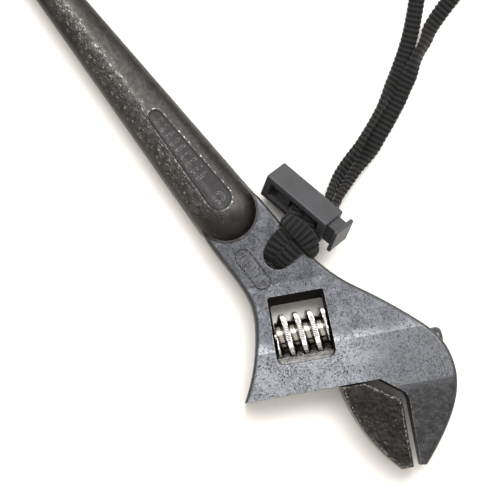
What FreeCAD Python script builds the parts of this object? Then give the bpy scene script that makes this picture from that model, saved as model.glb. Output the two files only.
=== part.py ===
# Adjustable wrench with a tether lanyard and a cord lock. All lengths are in millimetres.
# The wrench lies on its back face: +X runs along the handle towards the jaws, +Y towards the fixed jaw's
# back, and +Z up. The model is laid out from the centre of the tether hole and moved at the end, so that
# the origin is at the bottom centre of the wrench itself.
import FreeCAD, Part
import math
import os

V = FreeCAD.Vector
UP = V(0, 0, 1)

# Forging: thicknesses are half values, measured from the middle plane of the dies
HEAD_HALF = 9.75
NECK_HALF = 5.0
JAW_TIP_HALF = 6.0
FACE_TAPER_V = 27.0        # where the head's face starts to fall away towards the jaw tips
CREASE_V = 6.0             # where the thick head starts
SLOPE_V = -20.0            # where the neck starts to thicken
EDGE_ROUND = 1.6

# Handle, an oval bar that tapers from the dome to a blunt tip
GRIP_Y = -5.1
GRIP_HALF_WIDTH = 13.2
TIP_HALF_WIDTH = 4.3
TIP_HALF = 4.1
DOME_X = -26.0             # centre of the rounded end beside the neck
TIP_X = -202.0             # centre of the rounded tip
SIDE_ROUND_SHARE = 0.92    # side radius as a share of the bar's half thickness

# Sunk panel in the handle's top, with plain raised bars on its floor
PANEL_TIP_X = -71.3
PANEL_TIP_RADIUS = 3.2
PANEL_HEAD_X = -31.4
PANEL_HEAD_RADIUS = 5.2
PANEL_Y = -4.4
PANEL_DEPTH = 0.9
PANEL_BARS = 9
PANEL_BAR_PITCH = 3.4
PANEL_BAR_HALF = 0.5
PANEL_RELIEF = 0.35
PANEL_RING_RADIUS = 2.4
PANEL_RING_HOLE = 1.5

# Size mark on the neck: an oblong outline with plain strokes
MARK_LEFT_X = -7.4
MARK_RIGHT_X = 4.2
MARK_Y = -11.0
MARK_RADIUS = 3.5
MARK_LINE = 0.75
MARK_DEPTH = 0.45
STROKE_DEPTH = 0.35
STROKE_PITCH = 3.0
STROKE_HALF_LENGTH = 1.5
STROKE_HALF_WIDTH = 0.3

# Neck
NECK_RIGHT_Y = 8.4
NECK_LEFT_Y = -18.2
HOLE_RADIUS = 5.05
HOLE_EDGE_ROUND = 0.9

# Half-round lug over the blind end of the rack's bore
LUG_RADIUS = 4.1
LUG_V = 11.1
LUG_END_U = 53.44
LUG_ROUND = 2.2

# Head axes: u runs across the head towards the fixed jaw, v from the throat to the jaw tips
WORM_X = 29.0
WORM_Y = -10.8
JAW_ANGLE = 27.7
GUIDE_V = 23.1
GUIDE_LEFT_U = -26.5
GUIDE_RIGHT_U = 26.1
FACE_U = 35.75
FACE_START_V = 33.0
JAW_DEPTH_V = 58.5
JAW_GAP = 2.7

# Worm and its window
WINDOW_HALF_U = 11.5
WINDOW_HANDLE_V = -17.3
WINDOW_JAW_V = 11.6
WINDOW_DRAFT = 1.25        # how much nearer the side walls are at the middle plane
WINDOW_HANDLE_DRAFT = 5.2
WORM_RADIUS = 8.3
WORM_ROOT = 5.4
WORM_LEAD = 5.3
WORM_PHASE_U = 1.03        # where a ridge faces the rack
RIDGE_CREST = 1.8
RIDGE_FLANK = 20.0
WORM_END_GAP = 0.2
PIN_RADIUS = 2.0
PIN_HEAD_RADIUS = 3.2
PIN_HEAD_THICK = 1.8
PIN_HEAD_U = -15.0
PIN_END_U = 16.0
RUN_FIT = 0.04
SPRING_WIRE = 0.35
SPRING_MEAN_RADIUS = 2.8
SPRING_SEAT_DEPTH = 5.0
SPRING_WALL_GAP = 0.11

# Movable jaw: block, web and rack shank
JAW_HEEL_U = 10.7
JAW_PEAK_U = 20.0
JAW_BACK = V(43.0, 17.3, 0)
JAW_TIP_WIDTH = 4.5
JAW_EDGE_ROUND = 0.9
WEB_LEFT_U = 10.9
WEB_RIGHT_U = 22.4
RACK_V = 12.9
RACK_RADIUS = 6.2
RACK_LEFT_U = -14.0
RACK_RIGHT_U = 36.5
TRAVEL_CLOSE = 2.65
BORE_END_ROOM = 2.2
WEB_HALF = 2.4
SLIDE_GAP = 0.2
MESH_GAP = 0.35
JAW_HALF = 8.7

# Cord lock
LOCK_LENGTH = 31.0
LOCK_WIDTH = 10.8
LOCK_HEIGHT = 12.0
LOCK_CENTRE = V(-10.8, 20.2, 11.7)
LOCK_YAW = 10.4
LOCK_PITCH = 12.0
LOCK_LEAN = 33.0
LOCK_WALL = 2.5
CAVITY_HALF_Y = 3.6
CAVITY_HALF_Z = 4.4
LOCK_WINDOW_HALF_Z = 3.6
PLUNGER_GAP = 0.15
PLUNGER_OUT = 3.9
PLUNGER_SLOT_LEFT_X = -3.2
PLUNGER_SLOT_FRAME = 0.9
PLUNGER_RAIL = 0.4
CAP_THICK = 1.7
CAP_HALF_HEIGHT = 5.8
SPRING_ROOM = 4.4
LOCK_SPRING_RADIUS = 2.4
SPRING_END_GAP = 0.15

# Lanyard cord
CORD_DIAMETER = 4.6
HITCH_DIAMETER = 2.4
STRAND_A_X = 4.6
STRAND_B_X = 9.6


def head_place():
    """From the head's (v, u, z) axes to the wrench's own axes."""
    return FreeCAD.Placement(V(WORM_X, WORM_Y, HEAD_HALF), FreeCAD.Rotation(UP, -JAW_ANGLE))


def lock_place():
    """From the cord lock's axes (x to its button, y the way the cord leaves, z its top) to the wrench's."""
    turn = FreeCAD.Rotation(UP, LOCK_YAW)
    rise = FreeCAD.Rotation(V(0, 1, 0), -LOCK_PITCH)
    lean = FreeCAD.Rotation(V(1, 0, 0), -LOCK_LEAN)
    return FreeCAD.Placement(LOCK_CENTRE, turn * rise * lean)


def in_head(x, y):
    """A point of the wrench's plan in the head's axes."""
    p = head_place().inverse().multVec(V(x, y, HEAD_HALF))
    return V(p.x, p.y, 0)


def line(a, b):
    return Part.LineSegment(a, b).toShape()


def arc(a, b, c):
    return Part.Arc(a, b, c).toShape()


def curve(points):
    spline = Part.BSplineCurve()
    spline.interpolate(points)
    return spline.toShape()


def polygon(points):
    return Part.Face(Part.makePolygon(points + [points[0]]))


def cylinder_u(radius, u_from, u_to, v=0.0, z=0.0):
    """A cylinder along the head's u axis."""
    return Part.makeCylinder(radius, u_to - u_from, V(v, u_from, z), V(0, 1, 0))


def box(x0, x1, y0, y1, z0, z1):
    return Part.makeBox(x1 - x0, y1 - y0, z1 - z0, V(x0, y0, z0))


def rounded_box(x0, x1, y0, y1, z0, z1, radius):
    solid = box(x0, x1, y0, y1, z0, z1)
    return solid.makeFillet(radius, solid.Edges)


def fillet_where(solid, radius, wanted):
    """Rounds the edges that the test picks."""
    edges = [e for e in solid.Edges if wanted(e)]
    return solid.makeFillet(radius, edges) if edges else solid


def oval(x, half_width, half_height):
    """The bar's cross-section at x: crowned top and bottom, round sides."""
    side = SIDE_ROUND_SHARE * half_height
    offset = half_width - side
    crown = (offset ** 2 + half_height ** 2 - side ** 2) / (2 * (half_height - side))
    lean = math.atan2(offset, crown - half_height)
    y = crown * math.sin(lean)
    z = crown * math.cos(lean) - (crown - half_height)
    mid = V(x, GRIP_Y, HEAD_HALF)
    right_top, right_low = mid + V(0, y, z), mid + V(0, y, -z)
    left_top, left_low = mid + V(0, -y, z), mid + V(0, -y, -z)
    top, low = mid + V(0, 0, half_height), mid - V(0, 0, half_height)
    right, left = mid + V(0, half_width, 0), mid - V(0, half_width, 0)
    sides = [
        arc(left_top, top, right_top),
        arc(right_top, right, right_low),
        arc(right_low, low, left_low),
        arc(left_low, left, left_top),
    ]
    return Part.Wire(sides)


def round_end(x, half_width, half_height, direction):
    """The bar's round end: half of its section turned about the upright axis through (x, GRIP_Y)."""
    whole = Part.Face(oval(x, half_width, half_height))
    half = whole.common(box(x - 1, x + 1, GRIP_Y, GRIP_Y + 2 * half_width, -50, 50))
    return half.Faces[0].revolve(V(x, GRIP_Y, 0), UP, 180 * direction)


def handle():
    bar = Part.makeLoft(
        [oval(TIP_X, TIP_HALF_WIDTH, TIP_HALF), oval(DOME_X, GRIP_HALF_WIDTH, HEAD_HALF)], True, True
    )
    tip = round_end(TIP_X, TIP_HALF_WIDTH, TIP_HALF, 1)
    dome = round_end(DOME_X, GRIP_HALF_WIDTH, HEAD_HALF, -1)
    return bar.fuse([tip, dome]).removeSplitter()


def taper_slot(x0, r0, x1, r1, y, z, height):
    """A slot with round ends of two radii, standing on z."""
    lean = math.asin((r1 - r0) / (x1 - x0))
    s, c = math.sin(lean), math.cos(lean)
    a_left, a_right = V(x0 - r0 * s, y + r0 * c, z), V(x0 - r0 * s, y - r0 * c, z)
    b_left, b_right = V(x1 - r1 * s, y + r1 * c, z), V(x1 - r1 * s, y - r1 * c, z)
    sides = [
        line(a_left, b_left),
        arc(b_left, V(x1 + r1, y, z), b_right),
        line(b_right, a_right),
        arc(a_right, V(x0 - r0, y, z), a_left),
    ]
    return Part.Face(Part.Wire(sides)).extrude(V(0, 0, height))


def panel_recess():
    """The sunk panel in the handle's top, with plain raised bars and a ring on its floor."""
    slope = math.degrees(math.atan((HEAD_HALF - TIP_HALF) / (DOME_X - TIP_X)))
    floor = 2 * HEAD_HALF - PANEL_DEPTH
    recess = taper_slot(
        PANEL_TIP_X, PANEL_TIP_RADIUS, PANEL_HEAD_X, PANEL_HEAD_RADIUS, PANEL_Y, floor, 2 * PANEL_DEPTH
    )
    relief = []
    spread = (PANEL_HEAD_RADIUS - PANEL_TIP_RADIUS) / (PANEL_HEAD_X - PANEL_TIP_X)
    for i in range(PANEL_BARS):
        x = PANEL_TIP_X + 2.0 + i * PANEL_BAR_PITCH
        reach = 0.55 * (PANEL_TIP_RADIUS + spread * (x - PANEL_TIP_X))
        relief.append(box(
            x - PANEL_BAR_HALF, x + PANEL_BAR_HALF, PANEL_Y - reach, PANEL_Y + reach,
            floor - 0.1, floor + PANEL_RELIEF,
        ))
    ring = Part.makeCylinder(PANEL_RING_RADIUS, PANEL_RELIEF + 0.1, V(PANEL_HEAD_X, PANEL_Y, floor - 0.1))
    ring = ring.cut(Part.makeCylinder(PANEL_RING_HOLE, 2, V(PANEL_HEAD_X, PANEL_Y, floor - 0.5)))
    recess = recess.cut(Part.makeCompound(relief + [ring]))
    recess.rotate(V(DOME_X, PANEL_Y, 2 * HEAD_HALF), V(0, 1, 0), -slope)
    return recess


def head_outline():
    """The plan of neck, head and fixed jaw in the head's axes, anticlockwise from the handle."""
    start = in_head(DOME_X - 14, NECK_RIGHT_Y - 3.6)
    jaw_tip = V(JAW_DEPTH_V, FACE_U + 2.4, 0)
    back = [
        in_head(DOME_X + 4, NECK_RIGHT_Y),
        in_head(-4.0, 9.2),
        in_head(9.1, 10.65),
        in_head(21.1, 13.7),
        in_head(33.8, 19.5),
        in_head(50.3, 26.3),
        in_head(64.0, 29.7),
        in_head(79.7, 25.0),
        in_head(91.0, 11.9),
        jaw_tip,
    ]
    face_tip = V(JAW_DEPTH_V - 0.4, FACE_U, 0)
    face_start = V(FACE_START_V, FACE_U, 0)
    throat = V(29.4, FACE_U - 1.4, 0)
    guide_right = V(GUIDE_V, GUIDE_RIGHT_U, 0)
    guide_left = V(GUIDE_V, GUIDE_LEFT_U, 0)
    front = [
        guide_left,
        in_head(29.0, -34.6),
        in_head(19.1, -25.8),
        in_head(10.5, -20.6),
        in_head(0.0, -18.6),
        in_head(DOME_X + 4, NECK_LEFT_Y),
    ]
    end = in_head(DOME_X - 14, NECK_LEFT_Y + 3.0)
    sides = [
        line(start, back[0]),
        curve(back),
        line(jaw_tip, face_tip),
        line(face_tip, face_start),
        arc(face_start, V(30.9, FACE_U - 0.45, 0), throat),
        line(throat, guide_right),
        line(guide_right, guide_left),
        curve(front),
        line(front[-1], end),
        line(end, start),
    ]
    return Part.Face(Part.Wire(sides))


def side_profile():
    """The head's and neck's thickness along v, as a long prism across the head."""
    far_back, far_out = -90.0, JAW_DEPTH_V + 3.0
    taper = (HEAD_HALF - JAW_TIP_HALF) / (JAW_DEPTH_V - FACE_TAPER_V)
    upper = [
        (far_back, NECK_HALF),
        (SLOPE_V, NECK_HALF),
        (CREASE_V, HEAD_HALF),
        (FACE_TAPER_V, HEAD_HALF),
        (far_out, HEAD_HALF - taper * (far_out - FACE_TAPER_V)),
    ]
    points = [V(v, -80, z) for v, z in upper] + [V(v, -80, -z) for v, z in reversed(upper)]
    return polygon(points).extrude(V(0, 170, 0))


def is_wall(face):
    u0, u1, v0, v1 = face.ParameterRange
    return abs(face.normalAt((u0 + u1) / 2, (v0 + v1) / 2).z) < 0.05


def is_machined(face):
    """The guide edge, the throat and the fixed jaw's face, which keep sharp edges."""
    c = face.CenterOfMass
    return c.x > GUIDE_V - 0.5 and c.y < FACE_U + 1.5


def head_plate():
    plate = head_outline().extrude(V(0, 0, 2 * HEAD_HALF + 4))
    plate.translate(V(0, 0, -HEAD_HALF - 2))
    plate = plate.common(side_profile()).Solids[0]

    def outer_edge(edge):
        faces = plate.ancestorsOfType(edge, Part.Face)
        walls = [f for f in faces if is_wall(f)]
        if len(walls) != 1 or len(faces) != 2:
            return False
        return not is_machined(walls[0]) and edge.CenterOfMass.x > in_head(DOME_X, NECK_LEFT_Y).x - 2

    return fillet_where(plate, EDGE_ROUND, outer_edge)


def rounded_rectangle(v0, v1, u0, u1, z, near_radius, far_radius):
    """A wire with small corners at v0 and larger ones at v1."""
    n, f = near_radius, far_radius
    k = 1 - math.sqrt(0.5)
    sides = [
        line(V(v0 + n, u0, z), V(v1 - f, u0, z)),
        arc(V(v1 - f, u0, z), V(v1 - f * k, u0 + f * k, z), V(v1, u0 + f, z)),
        line(V(v1, u0 + f, z), V(v1, u1 - f, z)),
        arc(V(v1, u1 - f, z), V(v1 - f * k, u1 - f * k, z), V(v1 - f, u1, z)),
        line(V(v1 - f, u1, z), V(v0 + n, u1, z)),
        arc(V(v0 + n, u1, z), V(v0 + n * k, u1 - n * k, z), V(v0, u1 - n, z)),
        line(V(v0, u1 - n, z), V(v0, u0 + n, z)),
        arc(V(v0, u0 + n, z), V(v0 + n * k, u0 + n * k, z), V(v0 + n, u0, z)),
    ]
    return Part.Wire(sides)


def window():
    """The worm's window, drafted from both faces to its narrowest at the middle plane."""
    over = (HEAD_HALF + 1) / HEAD_HALF
    side, handle_side = WINDOW_DRAFT * over, WINDOW_HANDLE_DRAFT * over
    inner_u = WINDOW_HALF_U - WINDOW_DRAFT
    inner_v = WINDOW_HANDLE_V + WINDOW_HANDLE_DRAFT
    inner_jaw = WINDOW_JAW_V - WINDOW_DRAFT / 2
    halves = []
    for way in (1, -1):
        middle = rounded_rectangle(inner_v, inner_jaw, -inner_u, inner_u, 0, 1.0, 2.6)
        outer = rounded_rectangle(
            inner_v - handle_side, inner_jaw + side / 2, -inner_u - side, inner_u + side,
            way * (HEAD_HALF + 1), 1.3, 3.2,
        )
        halves.append(Part.makeLoft([middle, outer], True, True))
    return halves[0].fuse(halves[1])


def size_mark():
    """A sunk oblong outline with plain strokes inside, on the neck's top face."""
    top = HEAD_HALF + NECK_HALF
    x0, x1, y = MARK_LEFT_X, MARK_RIGHT_X, MARK_Y
    bore = MARK_RADIUS - MARK_LINE
    outer = taper_slot(x0, MARK_RADIUS, x1, MARK_RADIUS, y, top - MARK_DEPTH, 2)
    inner = taper_slot(x0, bore, x1, bore, y, top - 1, 3)
    strokes = []
    for i in range(-2, 3):
        x = (x0 + x1) / 2 + i * STROKE_PITCH
        strokes.append(box(
            x - STROKE_HALF_WIDTH, x + STROKE_HALF_WIDTH, y - STROKE_HALF_LENGTH, y + STROKE_HALF_LENGTH,
            top - STROKE_DEPTH, top + 1,
        ))
    return outer.cut(inner).fuse(strokes)


def hole_cutter():
    """The tether hole with both of its rims rounded."""
    r, e, top = HOLE_RADIUS, HOLE_EDGE_ROUND, NECK_HALF
    k = e * (1 - math.sqrt(0.5))
    sides = [
        line(V(0, 0, -top - 5), V(r + e, 0, -top - 5)),
        line(V(r + e, 0, -top - 5), V(r + e, 0, -top)),
        arc(V(r + e, 0, -top), V(r + k, 0, -top + k), V(r, 0, -top + e)),
        line(V(r, 0, -top + e), V(r, 0, top - e)),
        arc(V(r, 0, top - e), V(r + k, 0, top - k), V(r + e, 0, top)),
        line(V(r + e, 0, top), V(r + e, 0, top + 5)),
        line(V(r + e, 0, top + 5), V(0, 0, top + 5)),
        line(V(0, 0, top + 5), V(0, 0, -top - 5)),
    ]
    cutter = Part.Face(Part.Wire(sides)).revolve(V(0, 0, 0), UP, 360)
    cutter.translate(V(0, 0, HEAD_HALF))
    return cutter


def wrench_body():
    place = head_place()
    plate = head_plate()
    lug = cylinder_u(LUG_RADIUS, FACE_U + 6, LUG_END_U, LUG_V)
    lug = fillet_where(lug, LUG_ROUND, lambda e: e.CenterOfMass.y > LUG_END_U - 0.1)
    plate = plate.fuse(lug)
    bore_end = RACK_RIGHT_U + TRAVEL_CLOSE + BORE_END_ROOM
    slot_half = WEB_HALF + SLIDE_GAP
    cuts = [
        window(),
        cylinder_u(RACK_RADIUS + RUN_FIT, GUIDE_LEFT_U - 12, bore_end, RACK_V),
        box(RACK_V, GUIDE_V + 1, GUIDE_LEFT_U - 12, GUIDE_RIGHT_U, -slot_half, slot_half),
        cylinder_u(PIN_RADIUS + RUN_FIT, -40, PIN_END_U + 0.4),
        cylinder_u(PIN_HEAD_RADIUS + 0.1, -40, PIN_HEAD_U),
    ]
    plate = plate.cut(cuts)
    plate.Placement = place
    body = plate.fuse(handle()).removeSplitter()
    return body.cut([panel_recess(), size_mark(), hole_cutter()]).Solids[0]


def spring(mean_radius, wire, length, turns):
    """A round-wire spring standing on z = 0, its wire inside the given length."""
    rise = length - 2 * wire
    helix = Part.makeHelix(rise / turns, rise, mean_radius)
    section = Part.Wire(Part.makeCircle(wire, V(mean_radius, 0, 0), V(0, 1, 0)))
    coil = Part.Wire(helix.Edges).makePipeShell([section], True, True)
    coil.translate(V(0, 0, wire))
    return coil


def stand_along_u(shape, u):
    """Lays a shape built along +Z along the head's u axis, its +X towards the rack."""
    turn = FreeCAD.Rotation(V(1, 0, 0), V(0, 0, -1), V(0, 1, 0), "ZXY")
    shape.Placement = FreeCAD.Placement(V(0, u, 0), turn).multiply(shape.Placement)
    return shape


def adjusting_worm():
    half = WINDOW_HALF_U - WINDOW_DRAFT - WORM_END_GAP
    turns_each_way = math.ceil((half + WORM_LEAD) / WORM_LEAD)
    start = WORM_PHASE_U - turns_each_way * WORM_LEAD
    height = 2 * turns_each_way * WORM_LEAD
    helix = Part.makeHelix(WORM_LEAD, height, WORM_ROOT)
    flank = math.tan(math.radians(RIDGE_FLANK))
    inner_r = WORM_ROOT - 0.4
    outer_half = RIDGE_CREST / 2
    inner_half = outer_half + flank * (WORM_RADIUS - inner_r)
    section = Part.makePolygon([
        V(inner_r, 0, -inner_half), V(WORM_RADIUS, 0, -outer_half),
        V(WORM_RADIUS, 0, outer_half), V(inner_r, 0, inner_half), V(inner_r, 0, -inner_half),
    ])
    ridge = Part.Wire(helix.Edges).makePipeShell([section], True, True)
    ridge = ridge.common(Part.makeCylinder(WORM_RADIUS + 1, 2 * half, V(0, 0, -half - start)))
    core = Part.makeCylinder(WORM_ROOT, 2 * half, V(0, 0, -half - start))
    worm = core.fuse(ridge)
    worm = worm.cut(Part.makeCylinder(PIN_RADIUS + RUN_FIT + 0.02, 4 * half, V(0, 0, -2 * half - start)))
    seat = SPRING_MEAN_RADIUS + SPRING_WIRE + 0.35
    worm = worm.cut(Part.makeCylinder(seat, SPRING_SEAT_DEPTH, V(0, 0, -half - start)))
    worm = stand_along_u(worm, start)
    return worm.Solids[0]


def worm_pin():
    pin = cylinder_u(PIN_RADIUS, PIN_HEAD_U - 0.5, PIN_END_U)
    head = cylinder_u(PIN_HEAD_RADIUS, PIN_HEAD_U - PIN_HEAD_THICK, PIN_HEAD_U - 0.02)
    slot = box(-0.5, 0.5, PIN_HEAD_U - PIN_HEAD_THICK - 1, PIN_HEAD_U - PIN_HEAD_THICK + 0.8, -5, 5)
    return pin.fuse(head).removeSplitter().cut(slot)


def worm_spring():
    left_wall = -(WINDOW_HALF_U - WINDOW_DRAFT)
    coil = spring(SPRING_MEAN_RADIUS, SPRING_WIRE, SPRING_SEAT_DEPTH + WORM_END_GAP - 0.25, 3)
    return stand_along_u(coil, left_wall + SPRING_WALL_GAP)


def movable_jaw():
    """The jaw block with its web and its toothed round shank, in the head's axes."""
    face_u = FACE_U - JAW_GAP
    base_v = GUIDE_V + SLIDE_GAP
    heel, peak = V(base_v, JAW_HEEL_U, 0), V(base_v, JAW_PEAK_U, 0)
    slope_end, face_start = V(31.6, face_u - 1.0, 0), V(33.4, face_u, 0)
    face_tip, back_tip = V(JAW_DEPTH_V, face_u, 0), V(JAW_DEPTH_V + 0.1, face_u - JAW_TIP_WIDTH, 0)
    sides = [
        line(heel, peak),
        line(peak, slope_end),
        arc(slope_end, V(32.3, face_u - 0.35, 0), face_start),
        line(face_start, face_tip),
        line(face_tip, back_tip),
        arc(back_tip, JAW_BACK, heel),
    ]
    block = Part.Face(Part.Wire(sides)).extrude(V(0, 0, 2 * HEAD_HALF))
    block.translate(V(0, 0, -HEAD_HALF))
    taper = (JAW_HALF - JAW_TIP_HALF) / (JAW_DEPTH_V - FACE_TAPER_V)
    far_v = JAW_DEPTH_V + 3
    upper = [(0, JAW_HALF), (FACE_TAPER_V, JAW_HALF), (far_v, JAW_HALF - taper * (far_v - FACE_TAPER_V))]
    points = [V(v, -20, z) for v, z in upper] + [V(v, -20, -z) for v, z in reversed(upper)]
    block = block.common(polygon(points).extrude(V(0, 80, 0))).Solids[0]

    def top_or_bottom(edge):
        faces = block.ancestorsOfType(edge, Part.Face)
        walls = [f for f in faces if is_wall(f)]
        return len(faces) == 2 and len(walls) == 1

    block = fillet_where(block, JAW_EDGE_ROUND, top_or_bottom)
    web = box(RACK_V, base_v + 1.5, WEB_LEFT_U, WEB_RIGHT_U, -WEB_HALF, WEB_HALF)
    block = block.fuse(web.cut(box(base_v, base_v + 5, JAW_PEAK_U, 30, -5, 5)))
    shank = cylinder_u(RACK_RADIUS, RACK_LEFT_U, RACK_RIGHT_U, RACK_V)
    jaw = block.fuse(shank).removeSplitter()
    return jaw.cut(rack_grooves())


def rack_grooves():
    """Slanted grooves across the shank that the worm's ridges run in."""
    flank = math.tan(math.radians(RIDGE_FLANK))
    floor_v = WORM_RADIUS + MESH_GAP
    half_floor = RIDGE_CREST / 2 + MESH_GAP
    open_v = RACK_V - RACK_RADIUS - 1
    half_open = half_floor + flank * (floor_v - open_v)
    lead_slope = -WORM_LEAD / (2 * math.pi) / WORM_RADIUS
    reach = RACK_RADIUS + 1
    grooves = []
    first = math.ceil((RACK_LEFT_U - WORM_PHASE_U) / WORM_LEAD)
    last = math.floor((RACK_RIGHT_U - WORM_PHASE_U) / WORM_LEAD)
    for k in range(first, last + 1):
        u = WORM_PHASE_U + k * WORM_LEAD
        low = u - lead_slope * reach
        face = polygon([
            V(floor_v, low - half_floor, -reach), V(floor_v, low + half_floor, -reach),
            V(open_v, low + half_open, -reach), V(open_v, low - half_open, -reach),
        ])
        grooves.append(face.extrude(V(0, 2 * lead_slope * reach, 2 * reach)))
    return grooves


def cord_lock_housing():
    half_l, half_w, half_h = LOCK_LENGTH / 2, LOCK_WIDTH / 2, LOCK_HEIGHT / 2
    shell = rounded_box(-half_l, half_l, -half_w, half_w, -half_h, half_h, 0.7)
    cavity = box(
        -half_l + LOCK_WALL, half_l + 1, -CAVITY_HALF_Y, CAVITY_HALF_Y, -CAVITY_HALF_Z, CAVITY_HALF_Z
    )
    opening = box(
        -half_l + LOCK_WALL + 0.5, half_l - 3.5, -half_w - 1, half_w + 1,
        -LOCK_WINDOW_HALF_Z, LOCK_WINDOW_HALF_Z,
    )
    return shell.cut([cavity, opening])


def cord_lock_plunger():
    half_l = LOCK_LENGTH / 2
    half_y, half_z = CAVITY_HALF_Y - PLUNGER_GAP, CAVITY_HALF_Z - PLUNGER_GAP
    left = -half_l + LOCK_WALL + SPRING_ROOM
    cap_x = half_l + PLUNGER_OUT
    bar = box(left, cap_x + 0.5, -half_y, half_y, -half_z, half_z)
    slot_z = LOCK_WINDOW_HALF_Z - PLUNGER_RAIL
    bar = bar.cut(box(PLUNGER_SLOT_LEFT_X, half_l - PLUNGER_SLOT_FRAME, -9, 9, -slot_z, slot_z))
    half_w, half_h = LOCK_WIDTH / 2, CAP_HALF_HEIGHT
    cap = rounded_box(cap_x, cap_x + CAP_THICK, -half_w, half_w, -half_h, half_h, 0.5)
    return bar.fuse(cap).removeSplitter()


def cord_lock_spring():
    coil = spring(LOCK_SPRING_RADIUS, SPRING_WIRE, SPRING_ROOM - 2 * SPRING_END_GAP, 3)
    coil.rotate(V(0, 0, 0), V(0, 1, 0), 90)
    coil.translate(V(-LOCK_LENGTH / 2 + LOCK_WALL + SPRING_END_GAP, 0, 0))
    return coil


def tube(name, points, diameter, largest_radius=None):
    """A round tube along straight runs joined by tangent arcs; prints its radii, length and volume."""
    edges, radii, length = [], [], 0.0
    last = points[0]
    for i in range(1, len(points) - 1):
        back, ahead = points[i - 1] - points[i], points[i + 1] - points[i]
        turn = math.pi - back.getAngle(ahead)
        half = math.tan(turn / 2)
        radius = 0.45 * min(back.Length, ahead.Length) / half
        if largest_radius:
            radius = min(radius, largest_radius)
        reach = radius * half
        back.normalize()
        ahead.normalize()
        start, stop = points[i] + back * reach, points[i] + ahead * reach
        inward = (back + ahead).normalize()
        middle = points[i] + inward * (radius / math.cos(turn / 2) - radius)
        edges += [line(last, start), arc(start, middle, stop)]
        length += (start - last).Length + radius * turn
        radii.append(round(radius, 1))
        last = stop
    edges.append(line(last, points[-1]))
    length += (points[-1] - last).Length
    path = Part.Wire(edges)
    heading = points[1] - points[0]
    section = Part.Wire(Part.makeCircle(diameter / 2, points[0], heading))
    solid = path.makePipeShell([section], True, False)
    expected = math.pi * diameter ** 2 / 4 * length
    print(name, "length", round(length, 1), "radii", radii)
    print(name, "volume ratio", round(solid.Volume / expected, 4))
    return solid


def lock_point(x, y, z=0.0):
    return lock_place().multVec(V(x, y, z))


# Free cord, from the cord lock round the wrist loop and back: (x, y, z) from the tether hole's centre
FLOOR_Z = CORD_DIAMETER / 2 + 0.1
LOOP = [
    V(-10.9, 41.0, FLOOR_Z + 0.3),
    V(-14.4, 51.5, FLOOR_Z),
    V(-19.0, 62.5, FLOOR_Z),
    V(-25.0, 75.5, FLOOR_Z),
    V(-32.6, 88.6, FLOOR_Z),
    V(-41.9, 101.0, FLOOR_Z),
    V(-53.0, 113.5, FLOOR_Z),
    V(-69.5, 124.5, FLOOR_Z),
    V(-86.5, 137.0, FLOOR_Z),
    V(-97.5, 154.0, FLOOR_Z),
    V(-94.0, 172.5, FLOOR_Z),
    V(-77.0, 182.0, FLOOR_Z),
    V(-57.0, 177.0, FLOOR_Z),
    V(-45.5, 160.5, FLOOR_Z),
    V(-43.0, 141.0, FLOOR_Z),
    V(-41.0, 123.0, FLOOR_Z),
    V(-36.0, 106.5, FLOOR_Z),
    V(-27.7, 92.0, FLOOR_Z),
    V(-20.3, 78.5, FLOOR_Z),
    V(-14.3, 65.3, FLOOR_Z),
    V(-9.4, 53.3, FLOOR_Z),
    V(-5.6, 42.0, FLOOR_Z + 0.3),
]


def lanyard_loop():
    gate = LOCK_WIDTH / 2
    start = [lock_point(STRAND_A_X, gate + 0.05), lock_point(STRAND_A_X, gate + 6.5)]
    stop = [lock_point(STRAND_B_X, gate + 6.5), lock_point(STRAND_B_X, gate + 0.05)]
    return tube("lanyard_loop", start + LOOP + stop, CORD_DIAMETER)


def lanyard_hitch():
    """The cord's other end: through the lock, over the neck, down the hole, back under and across itself."""
    gate = LOCK_WIDTH / 2
    radius = HITCH_DIAMETER / 2
    over = HEAD_HALF + NECK_HALF + 0.35 + radius
    under = HEAD_HALF - NECK_HALF - 0.35 - radius
    across = over + HITCH_DIAMETER + 0.4
    points = [
        lock_point(STRAND_A_X, gate),
        lock_point(STRAND_A_X, -gate - 1.5),
        V(-4.4, 9.5, over + 0.4),
        V(-2.0, 1.4, over),
        V(-2.0, 1.4, under),
        V(-6.6, 10.95, under),
        V(-6.9, 10.95, across),
        V(7.6, 12.3, across),
        V(7.4, 12.3, under),
        V(2.0, 1.4, under),
        V(2.0, 1.4, over),
        V(0.8, 9.8, over + 0.4),
        lock_point(STRAND_B_X, -gate - 1.5),
        lock_point(STRAND_B_X, gate),
    ]
    return tube("lanyard_hitch", points, HITCH_DIAMETER, 3.2)


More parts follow.
